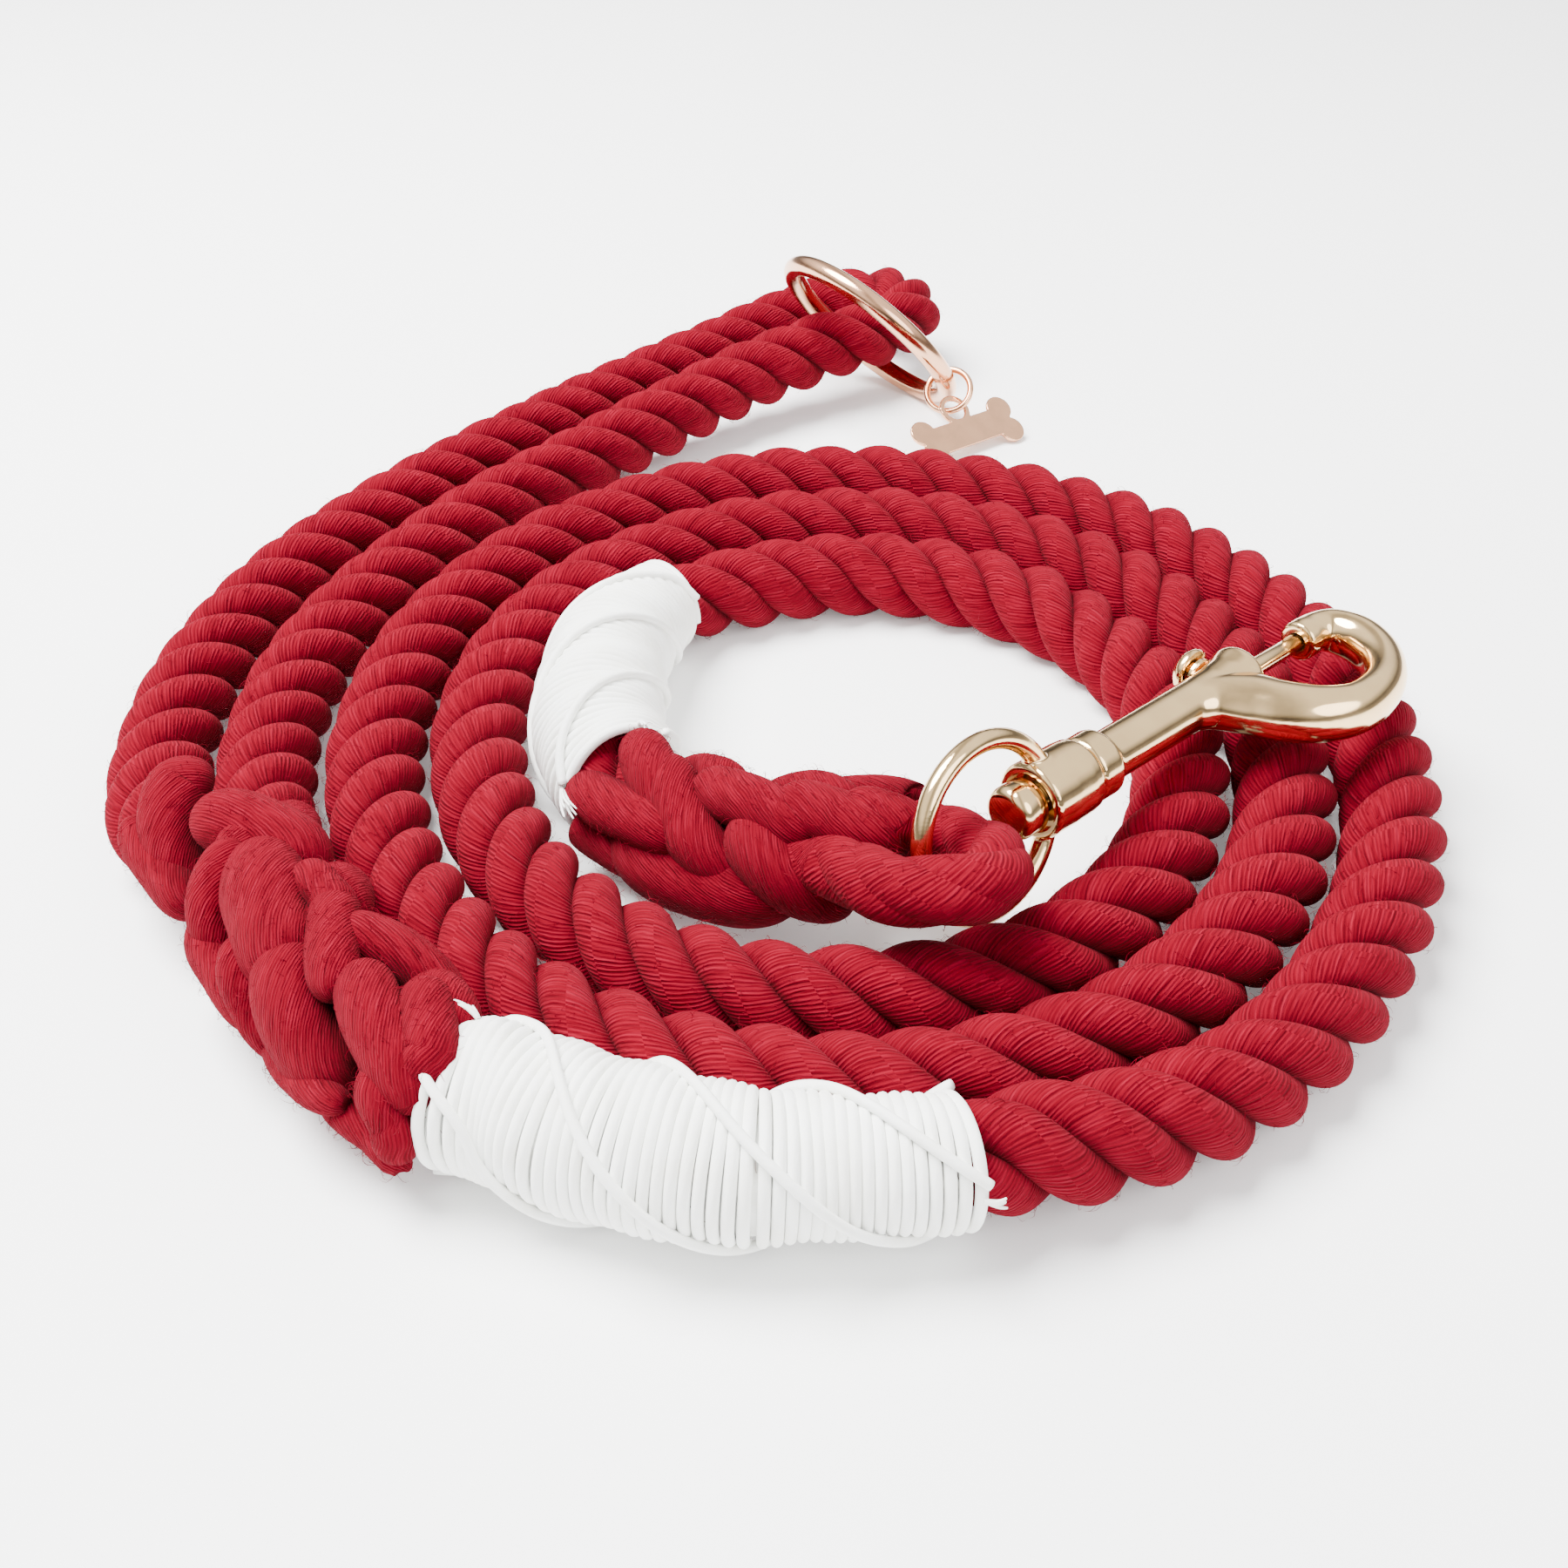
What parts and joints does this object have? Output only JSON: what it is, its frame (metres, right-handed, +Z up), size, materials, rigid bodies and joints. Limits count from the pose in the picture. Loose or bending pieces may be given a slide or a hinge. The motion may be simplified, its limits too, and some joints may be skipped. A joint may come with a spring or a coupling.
{
  "type": "training leash",
  "caption": "Coiled twisted cotton rope leash: a spliced hand loop with a ring and tag at one end, a sprung swivel bolt snap at the other, and white twine whippings over both splices.",
  "frame": {"origin": "middle of the coiled leash's box, on the floor", "axes": "+X to the right, +Y away from the handle whipping towards the hand loop's far end, +Z up from the floor"},
  "size_m": [0.1786, 0.2501, 0.0321],
  "materials": {
    "red_cotton": "matt spun cotton, three strands, fine fuzz",
    "white_twine": "waxed white cotton twine, close wound",
    "pale_gold": "mirror-polished pale gold plating",
    "rose_gold": "polished rose gold plating",
    "spring_steel": "drawn spring wire"
  },
  "bodies": {
    "rope": {"leash_rope": "red_cotton", "handle_tucks": "red_cotton", "handle_whipping": "white_twine", "handle_risers": "white_twine", "clip_tucks": "red_cotton", "clip_whipping": "white_twine", "clip_risers": "white_twine"},
    "eye": {"swivel_eye": "pale_gold"},
    "snap": {"snap_body": "pale_gold", "swivel_pin": "pale_gold", "bolt_spring": "spring_steel"},
    "bolt": {"bolt": "pale_gold", "thumb_stud": "pale_gold"},
    "ring": {"accessory_ring": "rose_gold"},
    "link": {"jump_ring": "rose_gold"},
    "tag": {"tag": "rose_gold"}
  },
  "joints": [
    {"name": "clip_lift", "type": "hinge", "parent": "rope", "child": "eye", "pos_m": [0.02518, -0.07295, 0.0193], "axis": [0.6463, -0.7178, 0.2588], "range_deg": [0, 60]},
    {"name": "swivel", "type": "hinge", "parent": "eye", "child": "snap", "pos_m": [0.0289, -0.0696, 0.0193], "axis": [-0.7431, -0.6691, 0], "range_deg": [0, 180]},
    {"name": "bolt_slide", "type": "slide", "parent": "snap", "child": "bolt", "axis": [-0.7431, -0.6691, 0], "range_m": [0, 0.009], "stiffness_N_per_m": 300, "springref_m": -0.005, "deforming": ["bolt_spring"]},
    {"name": "ring_swing", "type": "hinge", "parent": "rope", "child": "ring", "pos_m": [0.0162, 0.0944, 0.012], "axis": [-0.8944, -0.4472, 0], "range_deg": [0, 25]},
    {"name": "link_swing", "type": "hinge", "parent": "ring", "child": "link", "pos_m": [0.0322, 0.07713, 0.01016], "axis": [-0.2109, -0.6881, 0.6943], "range_deg": [0, 45]},
    {"name": "tag_swing", "type": "hinge", "parent": "link", "child": "tag", "pos_m": [0.0337, 0.0731, 0.0063], "axis": [-0.9398, -0.0058, -0.3416], "range_deg": [0, 40]}
  ]
}
